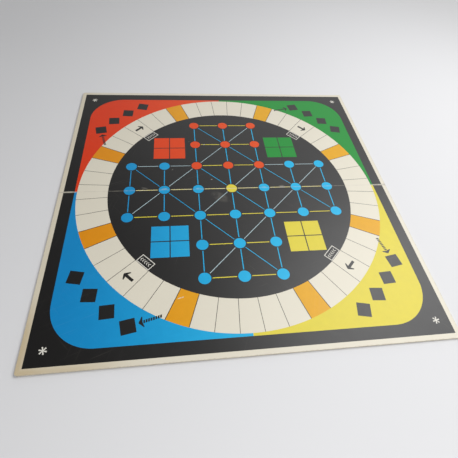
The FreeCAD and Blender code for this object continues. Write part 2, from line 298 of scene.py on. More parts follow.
class Finish(Draft):
    """A procedural material on Object coordinates."""

    def __init__(self, name):
        self.material = bpy.data.materials.new(name)
        self.material.use_nodes = True
        super().__init__(self.material.node_tree)
        self.tree.nodes.clear()
        self.place = self.node("ShaderNodeTexCoord", out="Object")
        self.x = self.node("ShaderNodeSeparateXYZ", sockets={0: self.place}, out="X")
        self.y = self.x.sibling("Y")

    def from_edge(self):
        """How far in from the nearest edge of the board, in metres."""
        return BOARD_HALF * MM - abs(self.x).at_least(abs(self.y))

    def stretched(self, x, y, z, turn=0.0, middle=(0, 0, 0)):
        """Coordinates drawn out by x, y and z about a middle, after a turn there."""
        sockets = {
            "Vector": self.place, "Location": middle, "Rotation": (0, 0, turn), "Scale": (x, y, z)}
        return self.node("ShaderNodeMapping", {"vector_type": "TEXTURE"}, sockets)

    def cloud(self, scale, detail, place=None):
        """Soft noise from 0 to 1; scale is in features per metre."""
        sockets = {"Vector": place or self.place, "Scale": scale, "Detail": detail}
        return self.node("ShaderNodeTexNoise", {}, sockets)

    def streaks(self, detail, x, y, z, turn=0.0):
        """Soft noise in streaks of about this size, in metres."""
        return self.cloud(1.0, detail, self.stretched(x, y, z, turn))

    def mix(self, share, first, second):
        """One colour into another. A Mix node has its colours at inputs 6 and 7 and output 2."""
        sockets = {0: share}
        for key, colour in ((6, first), (7, second)):
            sockets[key] = colour if isinstance(colour, Wire) else (*colour, 1.0)
        return self.node("ShaderNodeMix", {"data_type": "RGBA"}, sockets, out=2)

    def specks(self, scale, share, radius):
        """Scattered specks: cells per metre, the share of cells that have one, and its radius."""
        cell = self.node("ShaderNodeTexVoronoi", {}, {"Vector": self.place, "Scale": scale})
        lot = self.node("ShaderNodeSeparateColor", {}, {0: cell.sibling("Color")})
        solid, faint = 0.6 * radius, 0.9 * share
        inside = 1 - self.band(cell, solid * scale, radius * scale)
        return inside * self.band(lot, 1 - share, 1 - faint)

    def spot(self, x, y, length, width, turn=0.0):
        """A soft mark at one place of the drawing, in millimetres and degrees."""
        middle = (x * MM, y * MM, FACE_TOP * MM)
        local = self.stretched(
            length * MM, width * MM, BOARD_HALF * MM, math.radians(turn), middle)
        return 1 - self.band(self.length(local), 0.35, 1.0)

    def relief(self, height, depth, strength):
        """A bump of the given depth in metres."""
        sockets = {"Strength": strength, "Distance": depth, "Height": height}
        return self.node("ShaderNodeBump", {}, sockets)

    def surface(self, colour, roughness, normal, shine=PLAIN_SHINE):
        sockets = {
            "Base Color": colour, "Roughness": roughness, "Normal": normal,
            "Specular IOR Level": shine}
        return self.node("ShaderNodeBsdfPrincipled", {}, sockets)

    def close(self, shader):
        self.node("ShaderNodeOutputMaterial", {}, {"Surface": shader})
        return self.material


def shaded(colour, share):
    return tuple(share * part for part in colour)


def fold_rub(finish, middle, ends):
    """How far folding has rubbed the print off: shares in the middle and over the border."""
    border_from, border_to = 0.177, 0.183
    least, by_place, by_border = 0.0003, 0.0011, 0.0007
    outward = finish.band(abs(finish.x), border_from, border_to)
    along = finish.cloud(70, 4, finish.stretched(1, 1000, 1000))
    reach = least + by_place * along + by_border * outward
    core = 1 - finish.band(abs(finish.y) / reach, 0.2, 1.0)
    broken = finish.band(finish.streaks(4, 0.0028, 0.00045, 1) + 0.5 * along, 0.50, 0.85)
    return core * broken * (middle + (ends - middle) * outward)


def hair_scratches(finish):
    """Fine scratches in three directions, in patches."""
    length, width, rise = 0.05, 0.0011, 0.1
    total = None
    for turn, low in ((0.35, 0.655), (1.25, 0.665), (2.3, 0.66)):
        streak = finish.band(finish.streaks(1, length, width, 1, turn), low, low + rise)
        total = streak if total is None else total.at_least(streak)
    return total * finish.band(finish.cloud(17, 2), 0.46, 0.66)


def sheet_relief(finish):
    """Paper grain and the slight waviness of a pasted sheet."""
    grain = finish.cloud(2600, 2)
    swell = finish.cloud(38, 1)
    return finish.relief(0.012 * grain + swell, 0.00035, 0.35)


def ink_finish(name, colour, left_shade_colour, shine, rub, marks):
    """Satin printing ink with painted shade toward the left, rubbed and scratched, with its listed
    marks.
    """
    shade_to, unshaded_from = -0.20, 0.06
    finish = Finish(name)
    tone = finish.cloud(140, 4)
    grain = finish.cloud(1500, 2)
    mottle = 0.65 * tone + 0.35 * grain
    left, right = (
        finish.mix(mottle, shaded(end_colour, 0.92), shaded(end_colour, 1.08)) for end_colour in (left_shade_colour, colour))
    # Painted shade: the ink darkens toward the left edge.
    surface = finish.mix(finish.band(finish.x, shade_to, unshaded_from), left, right)
    wear_and_highlight = fold_rub(finish, rub, 0.75).at_least(0.03 * hair_scratches(finish))
    wear_and_highlight = wear_and_highlight.at_least(0.5 * finish.specks(62, 0.022, 0.00034))
    # The listed marks are worn ink; the strongest on the yellow fold line is also a painted
    # highlight.
    for strength, spot in marks:
        ragged = finish.band(tone + 0.4 * grain, 0.45, 0.80)
        wear_and_highlight = wear_and_highlight.at_least(strength * finish.spot(*spot) * ragged)
    surface = finish.mix(wear_and_highlight, surface, PAPER)
    roughness = 0.42 + 0.05 * tone + 0.22 * wear_and_highlight
    return finish.close(finish.surface(surface, roughness, sheet_relief(finish), shine))


def face_paper():
    """Satin paper gone cream, toned at the edges; painted shade darkens the left edge, most at the
    near left.
    """
    edge_from, edge_to, edge_wander = 0.003, 0.013, 0.004
    left_from, left_to = -0.198, -0.170
    chafe_reach = 0.0011
    finish = Finish("cream_paper")
    tone = finish.cloud(24, 4)
    fibre = finish.streaks(3, 0.006, 0.0007, 0.002, 0.2)
    surface = finish.mix(0.6 * tone + 0.4 * fibre, shaded(PAPER, 0.95), shaded(PAPER, 1.04))
    inside = finish.from_edge()
    edge = 1 - finish.band(inside + edge_wander * tone, edge_from, edge_to)
    left = 1 - finish.band(finish.x, left_from, left_to)
    near_left = finish.spot(-BOARD_HALF, -BOARD_HALF, 110, 80)
    # Slight toning all round, with painted shade along the left edge and most at the near left
    # corner.
    toned_and_shaded = edge * (0.06 + 0.26 * left + 0.70 * near_left)
    surface = finish.mix(toned_and_shaded, surface, TONED_AND_SHADED_PAPER)
    surface = finish.mix(0.30 * finish.specks(95, 0.03, 0.0006), surface, FOXED_PAPER)
    chafed = 1 - finish.band(inside, 0.0, chafe_reach)
    chafed = chafed * finish.band(finish.cloud(420, 3), 0.42, 0.62)
    surface = finish.mix(0.45 * chafed, surface, GREY_BOARD)
    # Darker along the fold, and in a spot at its right end.
    fold_darkening = fold_rub(finish, 0.25, 0.70).at_least(0.6 * finish.spot(BOARD_HALF, 0, 6, 2.6))
    surface = finish.mix(fold_darkening, surface, FOLD_DARK_PAPER)
    roughness = 0.44 + 0.06 * fibre + 0.25 * chafed
    return finish.close(finish.surface(surface, roughness, sheet_relief(finish)))


def core_board():
    """Grey board: pressed layers at the edge, with pale and dark waste fibres."""
    finish = Finish("grey_board")
    layers = finish.streaks(3, 0.012, 0.012, 0.00022)
    fibre = finish.streaks(2, 0.0022, 0.0022, 0.0004, 0.5)
    surface = finish.mix(0.65 * layers + 0.35 * fibre, BOARD_DARK, BOARD_PALE)
    surface = finish.mix(0.6 * finish.specks(700, 0.10, 0.0004), surface, BOARD_DARK_FIBRE)
    surface = finish.mix(0.5 * finish.specks(520, 0.08, 0.0005), surface, BOARD_PALE_FIBRE)
    relief = finish.relief(layers + fibre, 0.00008, 0.5)
    return finish.close(finish.surface(surface, 0.84 + 0.08 * fibre, relief))


def back_paper():
    """Buff lining paper with fibres in it, rubbed pale by the table and soiled by hands."""
    dark, pale = LINING_DARK_FIBRE, LINING_PALE_FIBRE
    hair_length, hair_width = 0.0065, 0.0009
    edge_reach = 0.007
    finish = Finish("lining_paper")
    tone = finish.cloud(16, 4)
    fibre = finish.streaks(3, 0.004, 0.0008, 0.002, 0.1)
    surface = finish.mix(0.55 * tone + 0.45 * fibre, LINING_DARK, LINING_PALE)
    for turn, colour in ((0.4, dark), (1.3, pale), (2.2, dark), (2.9, pale)):
        hair = finish.band(finish.streaks(1, hair_length, hair_width, 0.02, turn), 0.64, 0.74)
        surface = finish.mix(0.5 * hair, surface, colour)
    surface = finish.mix(0.5 * finish.specks(150, 0.10, 0.0008), surface, dark)
    handled = finish.band(finish.cloud(7, 3), 0.50, 0.72)
    surface = finish.mix(0.40 * handled, surface, LINING_HANDLED)
    edge = 1 - finish.band(finish.from_edge(), 0.0, edge_reach)
    edge = edge * finish.band(finish.cloud(130, 4), 0.40, 0.66)
    scuffs = finish.band(finish.streaks(3, 0.06, 0.006, 1, 0.25), 0.60, 0.74)
    rubbed = (0.8 * edge).at_least(0.45 * hair_scratches(finish)).at_least(0.35 * scuffs)
    surface = finish.mix(rubbed, surface, pale)
    relief = finish.relief(fibre + 0.6 * tone, 0.00006, 0.6)
    return finish.close(finish.surface(surface, 0.74 + 0.10 * fibre, relief))


def hinge_linen():
    """Plain woven bookbinding linen, stiff with glue."""
    finish = Finish("woven_linen")
    weave_scale = 260.0
    sockets = {"Vector": finish.place, "Scale": weave_scale, "Distortion": 0.6, "Detail": 1.0}
    warp, weft = (
        finish.node("ShaderNodeTexWave", {"bands_direction": axis}, sockets, out="Fac")
        for axis in "XY")
    weave = warp.at_least(weft)
    tone = finish.cloud(90, 4)
    surface = finish.mix(0.6 * weave + 0.4 * tone, LINEN_DARK, LINEN_PALE)
    relief = finish.relief(weave, 0.00012, 0.8)
    return finish.close(finish.surface(surface, 0.80 + 0.10 * tone, relief))


# Marks in the photograph, by ink: how strong, then place, length, width and turn.
MARKS = {
    "black": (
        (0.75, (-23.2, 15.6, 1.3, 0.9, 20)),
        (0.09, (-15.0, -13.5, 14.0, 8.0, -35)),
        (0.20, (-71.0, 34.0, 2.0, 0.8, 50)),
        (0.16, (63.0, 2.2, 5.0, 1.4, 5)),
        (0.12, (-104.0, 3.4, 5.0, 1.4, -12)),
    ),
    "yellow": (
        (0.95, (-28.6, 80.3, 1.9, 1.4, 0)),
        # Worn ink on the fold; this strongest mark is also a painted highlight of the fold.
        (1.80, (63.5, 0.1, 5.0, 1.3, 3)),
        (1.00, (52.0, 0.1, 3.0, 1.1, 0)),
        (0.75, (-56.0, 0.1, 6.0, 1.0, 0)),
        (0.60, (21.0, 0.1, 8.0, 1.0, 0)),
        (0.60, (99.0, 0.1, 7.0, 1.0, 0)),
    ),
    "orange": (
        (0.85, (-65.6, -140.9, 3.0, 0.7, 18)),
        (0.60, (-62.6, -140.1, 1.4, 0.9, 40)),
    ),
    "blue": (
        (0.28, (-80.8, 1.0, 5.0, 2.0, 8)),
        (0.26, (40.4, 0.5, 5.0, 2.2, -6)),
        (0.24, (-40.4, 0.6, 4.0, 1.8, 0)),
    ),
}
# Share of each ink rubbed off along the middle of the fold, where it isn't the usual one.
RUBS = {"black": 0.20, "yellow": 0.75}
USUAL_RUB = 0.30
SHINES = {"black": BLACK_SHINE}
FINISHES = {
    ink: ink_finish(
        f"printed_{ink}", colour, LEFT_SHADED_INKS.get(ink, colour), SHINES.get(ink, INK_SHINE),
        RUBS.get(ink, USUAL_RUB), MARKS.get(ink, ()))
    for ink, colour in INKS.items()
}
FINISHES["paper"] = face_paper()
FINISHES["core"] = core_board()
FINISHES["back"] = back_paper()
FINISHES["linen"] = hinge_linen()

# What every printing tree takes beside its own figure.
FILM_SOCKETS = {"Film": "Float", "Height": "Float", "Ink": "Material"}


def press(name, sockets):
    """A new printing tree with named inputs; gives its draft and the input wires by name."""
    sockets = {**sockets, **FILM_SOCKETS}
    tree = bpy.data.node_groups.new(name, "GeometryNodeTree")
    tree.interface.new_socket("Print", in_out="OUTPUT", socket_type="NodeSocketGeometry")
    for label, kind in sockets.items():
        tree.interface.new_socket(label, in_out="INPUT", socket_type="NodeSocket" + kind)
    draft = Draft(tree)
    entry = draft.node("NodeGroupInput")
    return draft, {label: entry.sibling(label) for label in sockets}


def film(draft, flat, entry):
    """Flat figures, face up, become closed films of ink at their height."""
    raised = draft.node(
        "GeometryNodeExtrudeMesh", {"mode": "FACES"},
        {"Mesh": flat, "Offset Scale": entry["Film"], "Individual": False})
    under = draft.node("GeometryNodeFlipFaces", {}, {"Mesh": flat})
    joined = draft.node("GeometryNodeJoinGeometry", {}, {"Geometry": [raised, under]})
    closed = draft.node("GeometryNodeMergeByDistance", {}, {"Geometry": joined, "Distance": SEAM})
    lift = draft.node("ShaderNodeCombineXYZ", {}, {"Z": entry["Height"]})
    return draft.node("GeometryNodeSetPosition", {}, {"Geometry": closed, "Offset": lift})


def print_out(draft, entry, flat, sockets):
    """Stamps the film of a flat figure on points, in its ink."""
    sockets = {"Instance": film(draft, flat, entry), **sockets}
    stamped = draft.node("GeometryNodeInstanceOnPoints", {}, sockets)
    real = draft.node("GeometryNodeRealizeInstances", {}, {"Geometry": stamped})
    inked = draft.node("GeometryNodeSetMaterial", {}, {"Geometry": real, "Material": entry["Ink"]})
    draft.node("NodeGroupOutput", {}, {0: inked})
    return draft.tree


def turned_print():
    """Repeats a flat figure round the middle of the board."""
    draft, entry = press(
        "turned_print", {"Figure": "Geometry", "Count": "Int", "First": "Float", "Step": "Float"})
    spots = draft.node("GeometryNodePoints", {}, {"Count": entry["Count"]})
    angle = entry["First"] + draft.node("GeometryNodeInputIndex") * entry["Step"]
    euler = draft.node("ShaderNodeCombineXYZ", {}, {"Z": angle})
    turn = draft.node("FunctionNodeEulerToRotation", {}, {0: euler})
    return print_out(draft, entry, entry["Figure"], {"Points": spots, "Rotation": turn})


def dot_print():
    """Prints a round dot on every corner of a mesh."""
    draft, entry = press("dot_print", {"Places": "Geometry", "Radius": "Float", "Corners": "Int"})
    circle = draft.node(
        "GeometryNodeMeshCircle", {"fill_type": "NGON"},
        {"Vertices": entry["Corners"], "Radius": entry["Radius"]})
    return print_out(draft, entry, circle, {"Points": entry["Places"]})


def line_print():
    """Prints a line along every edge of a net, stopping short of both ends."""
    draft, entry = press("line_print", {"Net": "Geometry", "Trim": "Float", "Width": "Float"})
    start = draft.node("GeometryNodeInputMeshEdgeVertices", out="Position 1")
    end = start.sibling("Position 2")
    run = draft.node("ShaderNodeVectorMath", {"operation": "SUBTRACT"}, {0: end, 1: start})
    kept = draft.node(
        "GeometryNodeCaptureAttribute", {"domain": "EDGE"}, {"Geometry": entry["Net"], "Run": run},
        captures=[("VECTOR", "Run")])
    kept_run = kept.sibling("Run")
    middles = draft.node("GeometryNodeMeshToPoints", {"mode": "EDGES"}, {"Mesh": kept})
    unit = draft.node(
        "GeometryNodeMeshGrid", {},
        {"Size X": 1.0, "Size Y": entry["Width"], "Vertices X": 2, "Vertices Y": 2})
    length = draft.length(kept_run) - 2 * entry["Trim"]
    scale = draft.node("ShaderNodeCombineXYZ", {}, {"X": length, "Y": 1.0, "Z": 1.0})
    heading = draft.node("FunctionNodeAlignRotationToVector", {"axis": "X"}, {"Vector": kept_run})
    sockets = {"Points": middles, "Rotation": heading, "Scale": scale}
    return print_out(draft, entry, unit, sockets)


TURNED_PRINT = turned_print()
DOT_PRINT = dot_print()
LINE_PRINT = line_print()


def printed(tree, mesh, level, ink, **sizes):
    """Runs a printing tree on a mesh and gives the plain mesh that it makes."""
    height = (FACE_TOP + level * INK_FILM) * MM
    inputs = {"Film": INK_FILM * MM, "Height": height, "Ink": FINISHES[ink], **sizes}
    carrier = bpy.data.objects.new("carrier", mesh)
    bpy.context.scene.collection.objects.link(carrier)
    step = carrier.modifiers.new("press", "NODES")
    step.node_group = tree
    for item in tree.interface.items_tree:
        if item.in_out == "INPUT" and item.name in inputs:
            step[item.identifier] = inputs[item.name]
    graph = bpy.context.evaluated_depsgraph_get()
    made = bpy.data.meshes.new_from_object(carrier.evaluated_get(graph), depsgraph=graph)
    carrier.modifiers.remove(step)
    bpy.data.objects.remove(carrier)
    bpy.data.meshes.remove(mesh)
    return made


def flat_mesh(outlines):
    """Flat faces, all face up, from outlines in millimetres; shared corners are joined."""
    work = bmesh.new()
    for outline in outlines:
        work.faces.new([work.verts.new((x * MM, y * MM, 0.0)) for x, y in outline])
    bmesh.ops.remove_doubles(work, verts=work.verts, dist=SEAM)
    work.normal_update()
    bmesh.ops.reverse_faces(work, faces=[face for face in work.faces if face.normal.z < 0])
    mesh = bpy.data.meshes.new("flat")
    work.to_mesh(mesh)
    work.free()
    return mesh


def net_mesh(places, edges=()):
    """Points of the drawing in millimetres, and the lines that join them."""
    mesh = bpy.data.meshes.new("net")
    mesh.from_pydata([(x * MM, y * MM, 0.0) for x, y in places], list(edges), [])
    return mesh


def repeated(outlines, level, ink, turn=0.0, count=1, step=0.0):
    """Flat figures in one ink, repeated in steps of a turn about the middle."""
    return printed(
        TURNED_PRINT, flat_mesh(outlines), level, ink,
        Count=count, First=math.radians(turn), Step=math.radians(step))


def polar(radius, angle):
    return radius * math.cos(math.radians(angle)), radius * math.sin(math.radians(angle))


def arc(radius, first, last, x=0.0, y=0.0, step=LARGE_ARC_STEP):
    """Points along a round edge, both ends included."""
    count = max(2, math.ceil(abs(last - first) / step))
    turns = [polar(radius, first + (last - first) * k / count) for k in range(count + 1)]
    return [(x + across, y + along) for across, along in turns]


def placed(outline, turn, x=0.0, y=0.0):
    """An outline drawn at the middle, turned and then moved."""
    c = math.cos(math.radians(turn))
    s = math.sin(math.radians(turn))
    return [(x + c * u - s * v, y + s * u + c * v) for u, v in outline]


def mirrored(outline):
    return [(-x, y) for x, y in reversed(outline)]


def rectangle(length, depth, x=0.0, y=0.0):
    u = length / 2
    v = depth / 2
    return [(x - u, y - v), (x + u, y - v), (x + u, y + v), (x - u, y + v)]


def fold_angle(radius):
    """Angle at which a circle about the middle meets the edge of the crease."""
    return math.degrees(math.asin(CREASE_EDGE / radius))


def border():
    """The black border of the far half, from the crease outward."""
    bend = PANEL_HALF - PANEL_CORNER
    outside = [(BORDER_HALF, CREASE_EDGE), (BORDER_HALF, BORDER_HALF)]
    outside += mirrored(outside)
    left = arc(PANEL_CORNER, HALF_TURN, QUARTER_TURN, -bend, bend)
    right = arc(PANEL_CORNER, QUARTER_TURN, 0, bend, bend)
    return outside + [(-PANEL_HALF, CREASE_EDGE)] + left + right + [(PANEL_HALF, CREASE_EDGE)]


def field():
    """The black round field of the far half."""
    low = fold_angle(TRACK_INNER)
    return arc(TRACK_INNER, low, HALF_TURN - low)


def corner_panel():
    """The coloured panel between the track and the right far corner."""
    bend = PANEL_HALF - PANEL_CORNER
    corner = arc(PANEL_CORNER, 0, QUARTER_TURN, bend, bend)
    rim = arc(TRACK_OUTER, QUARTER_TURN, fold_angle(TRACK_OUTER))
    return [(PANEL_HALF, CREASE_EDGE)] + corner + [(0.0, PANEL_HALF)] + rim


def dividers():
    """The lines between the cells of one eighth of the track, heavier beside its coloured cell."""
    drawn = []
    for k in range(CELL_COUNT // STOP_COUNT):
        angle = (k + 0.5) * CELL_ANGLE
        beside_stop = abs(angle - STOP_ANGLE / 2) < CELL_ANGLE
        width = STOP_DIVIDER_WIDTH if beside_stop else DIVIDER_WIDTH
        line = rectangle(TRACK_OUTER - TRACK_INNER, width)
        drawn.append(placed(line, angle, *polar(TRACK_MIDDLE, angle)))
    return drawn


def stop_cell():
    """The first coloured cell, clear of the lines beside it."""
    low = STOP_ANGLE / 2 - CELL_ANGLE / 2
    high = STOP_ANGLE / 2 + CELL_ANGLE / 2
    inner_clear, outer_clear = (
        math.degrees(math.asin(STOP_DIVIDER_WIDTH / 2 / radius))
        for radius in (TRACK_INNER, TRACK_OUTER))
    outer = arc(TRACK_OUTER, low + outer_clear, high - outer_clear)
    return outer + arc(TRACK_INNER, high - inner_clear, low + inner_clear)


def arrow(length, width, shares):
    """An arrow along X from the middle, the same on both sides of its shaft."""
    side = [(length * along, width / 2 * across) for along, across in shares]
    return side + [(x, -y) for x, y in reversed(side) if y > 0]


def start_arrow():
    """The solid arrow in the cell behind a start box."""
    drawn = arrow(START_ARROW_LENGTH, START_ARROW_WIDTH, START_ARROW_SHARES)
    centred = placed(drawn, 0, -START_ARROW_LENGTH / 2)
    return placed(centred, EIGHTH_TURN - QUARTER_TURN, *polar(TRACK_MIDDLE, EIGHTH_TURN))


def start_box():
    """An outlined box at the rim of the field, with a row of plain chevrons in it."""
    outer = rectangle(START_BOX_DEPTH, START_BOX_LENGTH)
    inner = rectangle(START_BOX_DEPTH - 2 * START_BOX_LINE, START_BOX_LENGTH - 2 * START_BOX_LINE)
    drawn = [[outer[k - 1], outer[k], inner[k], inner[k - 1]] for k in range(len(outer))]
    for k in range(CHEVRON_COUNT):
        y = ((CHEVRON_COUNT - 1) / 2 - k) * CHEVRON_STEP + CHEVRON_REACH / 2
        half = CHEVRON_DEPTH / 2
        upper = [(-half, y), (0.0, y - CHEVRON_REACH), (half, y)]
        drawn.append(upper + [(u, v - CHEVRON_STROKE) for u, v in reversed(upper)])
    place = polar(START_BOX_INNER + START_BOX_DEPTH / 2, EIGHTH_TURN)
    return [placed(outline, EIGHTH_TURN, *place) for outline in drawn]


def yard():
    """Four squares on an arc, and the hatched arrow that leads to the last."""
    reach = (YARD_COUNT - 1) / 2
    drawn = []
    for k in range(YARD_COUNT):
        lean = (k - reach) * YARD_STEP
        place = polar(YARD_RADIUS, EIGHTH_TURN + lean)
        drawn.append(placed(rectangle(YARD_SIDE, YARD_SIDE), lean, *place))
    tail = polar(RETURN_TAIL_RADIUS, EIGHTH_TURN + RETURN_TAIL_ANGLE)
    last = polar(YARD_RADIUS, EIGHTH_TURN + reach * YARD_STEP)
    heading = math.degrees(math.atan2(last[1] - tail[1], last[0] - tail[0]))
    step = RETURN_LENGTH * RETURN_STROKES_SHARE / RETURN_STROKES
    parts = [arrow(RETURN_LENGTH, RETURN_WIDTH, RETURN_HEAD_SHARES)]
    for k in range(RETURN_STROKES):
        stroke = rectangle(step * RETURN_INK_SHARE, RETURN_STROKE_WIDTH, (k + 0.5) * step)
        parts.append([(x + RETURN_STROKE_LEAN * y, y) for x, y in stroke])
    return drawn + [placed(outline, heading, *tail) for outline in parts]


def star():
    """A six-armed star in the corner, one arm toward the middle of the board."""
    outline = []
    between = HALF_TURN / STAR_ARMS
    notch = STAR_WAIST / 2 / math.sin(math.radians(between))
    for k in range(STAR_ARMS):
        angle = EIGHTH_TURN + k * 2 * between
        outline.append(polar(notch, angle - between))
        outline += placed([(STAR_REACH, -STAR_TIP / 2), (STAR_REACH, STAR_TIP / 2)], angle)
    return placed(outline, 0, STAR_PLACE, STAR_PLACE)


def home_cells():
    """The four cells of the home block in the right far quarter."""
    cell = (HOME_REACH - HOME_NEAR - HOME_SPLIT) / 2
    middles = (HOME_NEAR + cell / 2, HOME_REACH - cell / 2)
    return [rectangle(cell, cell, x, y) for x in middles for y in middles]


def side_turn(side):
    """The near half is the far one turned half round."""
    return 0.0 if side > 0 else HALF_TURN


def half_dot(x):
    """The part of a dot on the fold that lies beyond the crease."""
    low = fold_angle(POINT_RADIUS)
    return arc(POINT_RADIUS, low, HALF_TURN - low, x, 0.0, SMALL_ARC_STEP)


def on_cross(column, row):
    within = max(abs(column), abs(row)) <= CROSS_REACH
    return within and min(abs(column), abs(row)) <= ARM_REACH


CROSS = [
    (column, row)
    for row in range(-CROSS_REACH, CROSS_REACH + 1)
    for column in range(-CROSS_REACH, CROSS_REACH + 1)
    if on_cross(column, row)
]


def pitched(places):
    return [(column * POINT_PITCH, row * POINT_PITCH) for column, row in places]


def point_ink(column, row):
    if (column, row) == (0, 0):
        return "yellow"
    return "red" if abs(column) <= ARM_REACH and row >= ARM_REACH else "blue"


def dots(side, ink):
    """Whole dots of one ink on one half."""
    chosen = [(c, r) for c, r in CROSS if r * side > 0 and point_ink(c, r) == ink]
    return printed(
        DOT_PRINT, net_mesh(pitched(chosen)), ON_INK, ink,
        Radius=POINT_RADIUS * MM, Corners=DOT_CORNERS)


def fold_dots(side, ink):
    """Dots of one ink that lie across the fold, up to the crease."""
    on_fold = [c for c, r in CROSS if r == 0 and point_ink(c, r) == ink]
    chosen = [half_dot(c * POINT_PITCH * side) for c in on_fold]
    return repeated(chosen, ON_INK, ink, side_turn(side))


def lines(side, right, up, width, ink, wanted=lambda column, row: True):
    """Lines of one ink on one half; each goes so many points right and up.

    Only every other point has diagonals.
    """
    numbers = {place: k for k, place in enumerate(CROSS)}
    leaning = right * up != 0
    edges = []
    for column, row in CROSS:
        end = (column + right, row + up)
        here = (row + end[1]) * side > 0
        skipped = leaning and (column + row) % 2
        if end in numbers and here and wanted(column, row) and not skipped:
            edges.append((numbers[column, row], numbers[end]))
    net = net_mesh(pitched(CROSS), edges)
    return printed(LINE_PRINT, net, ON_INK, ink, Trim=LINE_TRIM * MM, Width=width * MM)


def on_side_arm(column, row):
    """Level lines of the far side arms are left pale."""
    return row == ARM_REACH and not -ARM_REACH <= column < ARM_REACH


def off_side_arm(column, row):
    return not on_side_arm(column, row)


def gathered(name, parts):
    """One mesh from several, keeping the materials of their faces."""
    work = bmesh.new()
    finishes = []
    for part in parts:
        done = len(work.faces)
        work.from_mesh(part)
        finish = part.materials[-1]
        if finish not in finishes:
            finishes.append(finish)
        work.faces.ensure_lookup_table()
        for face in work.faces[done:]:
            face.material_index = finishes.index(finish)
        bpy.data.meshes.remove(part)
    mesh = bpy.data.meshes.new(name)
    work.to_mesh(mesh)
    work.free()
    for finish in finishes:
        mesh.materials.append(finish)
    return mesh


def shown(name, data):
    """A new object in the scene."""
    made = bpy.data.objects.new(name, data)
    bpy.context.scene.collection.objects.link(made)
    return made


def side_print(side_name, side, right_ink, left_ink):
    """All inks of one half; its panels' inks are named as they lie before the near half is turned."""
    turn = side_turn(side)
    corners = {"turn": turn, "count": 2, "step": QUARTER_TURN}
    eighths = {"turn": turn, "count": STOP_COUNT // 2, "step": STOP_ANGLE}
    parts = {
        "black": [
            repeated([border()], ON_PAPER, "black", turn),
            repeated([field()], ON_PAPER, "black", turn),
            repeated(dividers(), ON_PAPER, "black", **eighths),
            repeated([start_arrow()], ON_PAPER, "black", **corners),
            repeated(yard(), ON_INK, "black", **corners),
        ],
        "orange": [repeated([stop_cell()], ON_PAPER, "orange", **eighths)],
        "pale": [
            repeated([star()], ON_INK, "pale", **corners),
            repeated(start_box(), ON_INK, "pale", **corners),
            lines(side, 1, 1, RISING_WIDTH, "line_pale"),
        ],
        "blue": [
            dots(side, "blue"),
            fold_dots(side, "blue"),
            lines(side, 0, 1, UPRIGHT_WIDTH, "blue"),
            lines(side, 1, -1, FALLING_WIDTH, "blue"),
        ],
        "yellow": [
            fold_dots(side, "yellow"),
            lines(side, 1, 0, LEVEL_WIDTH, "yellow", off_side_arm),
        ],
        "red": [],
        "green": [],
    }
    if side > 0:
        parts["red"].append(dots(side, "red"))
        parts["pale"].append(lines(side, 1, 0, ARM_LEVEL_WIDTH, "line_pale", on_side_arm))
    for ink, drawn in ((right_ink, list), (left_ink, mirrored)):
        parts[ink].append(repeated([drawn(corner_panel())], ON_PAPER, ink, turn))
        parts[ink].append(repeated([drawn(cell) for cell in home_cells()], ON_INK, ink, turn))
    for ink, meshes in parts.items():
        if meshes:
            piece = shown(f"{side_name}_{ink}_print", gathered(f"{side_name}_{ink}_print", meshes))
            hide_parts(f"{side_name}_{ink}_ink")
            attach(piece, f"{side_name}_half")


side_print("far", 1, "green", "red")
side_print("near", -1, "blue", "yellow")


def crease_section(level):
    """Half section of one face of the opened crease: a shallow dip, from the middle out."""
    section = []
    for k in range(CREASE_STEPS + 1):
        y = CREASE_EDGE * k / CREASE_STEPS
        dip = 0.5 + 0.5 * math.cos(math.pi * min(1.0, y / CREASE_RADIUS))
        section.append((y, level - CREASE_DIP * dip))
    return section


def cloth_section(radius, level):
    """Half section of one face of the linen, from the middle out; it dips round the fold's axis."""
    lean = math.asin((FOLD_HEIGHT - level) / radius)
    section = []
    for k in range(CLOTH_DIP_STEPS + 1):
        angle = (math.pi / 2 - lean) * k / CLOTH_DIP_STEPS
        section.append((radius * math.sin(angle), FOLD_HEIGHT - radius * math.cos(angle)))
    mouth = section[-1][0]
    for k in range(1, CLOTH_WING_STEPS + 1):
        section.append((mouth + (CLOTH_EDGE - mouth) * k / CLOTH_WING_STEPS, level))
    return section


def strip_mesh(name, upper, lower, columns, crinkle=0.0):
    """A closed strip along the fold from the half sections of its two faces."""
    section = [(-y, z) for y, z in reversed(upper[1:])] + upper
    section += list(reversed(lower)) + [(-y, z) for y, z in lower[1:]]
    edge = upper[-1][0]
    work = bmesh.new()
    rings = []
    for x in columns:
        ring = []
        for y, z in section:
            free = min(1.0, (edge - abs(y)) / (CRINKLE_FADE * edge))
            wave = noise.noise(Vector((CRINKLE_ALONG * x, CRINKLE_ACROSS * y, CRINKLE_SLICE)))
            ring.append(work.verts.new((x * MM, y * MM, (z + crinkle * free * wave) * MM)))
        rings.append(ring)
    for first, second in zip(rings, rings[1:]):
        for k in range(len(section)):
            work.faces.new([first[k], first[k - 1], second[k - 1], second[k]])
    work.faces.new(rings[0])
    work.faces.new(list(reversed(rings[-1])))
    bmesh.ops.recalc_face_normals(work, faces=work.faces)
    mesh = bpy.data.meshes.new(name)
    work.to_mesh(mesh)
    work.free()
    return mesh


def crease_ink(x, y):
    """What is printed on the crease at a place of the drawing."""
    reach = abs(x)
    if reach > BORDER_HALF:
        return "paper"
    if reach > PANEL_HALF:
        return "black"
    if reach > TRACK_OUTER:
        far_ink, near_ink = ("green", "yellow") if x > 0 else ("red", "blue")
        return far_ink if y > 0 else near_ink
    if reach > TRACK_INNER:
        return "paper"
    column = round(x / POINT_PITCH)
    beside = abs(x - column * POINT_PITCH)
    if beside < POINT_RADIUS:
        return point_ink(column, 0)
    on_line = beside > LINE_TRIM and reach < CROSS_REACH * POINT_PITCH
    return "yellow" if on_line and abs(y) < LEVEL_WIDTH / 2 else "black"


